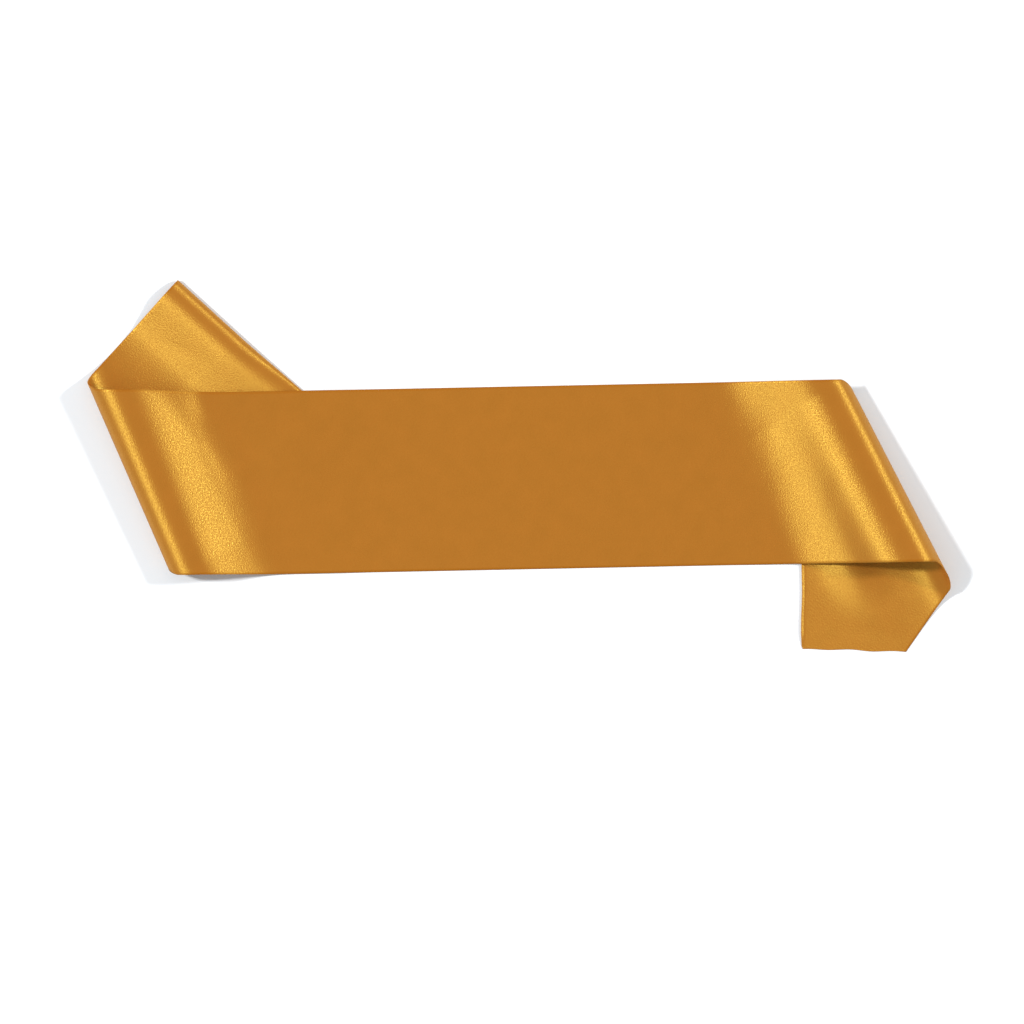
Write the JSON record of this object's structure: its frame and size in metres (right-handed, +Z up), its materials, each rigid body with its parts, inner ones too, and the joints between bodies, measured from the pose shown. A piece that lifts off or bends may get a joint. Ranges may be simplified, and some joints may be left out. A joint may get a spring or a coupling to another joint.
{
  "type": "satin sash",
  "caption": "A plain satin ribbon sash laid flat like a banner, both ends turned under in soft rolls and brought out as short tails.",
  "frame": {"origin": "on the table, under the middle of the sash's box", "axes": "+X along the band towards the pointed tail, +Y across the band towards the square tail, +Z up from the table"},
  "size_m": [0.4714, 0.203, 0.0281],
  "materials": {
    "satin": "satin"
  },
  "bodies": {
    "root": {"left_return": "satin", "left_tail": "satin", "left_fold": "satin", "sash_band": "satin", "right_fold": "satin", "right_tail": "satin"}
  },
  "joints": []
}
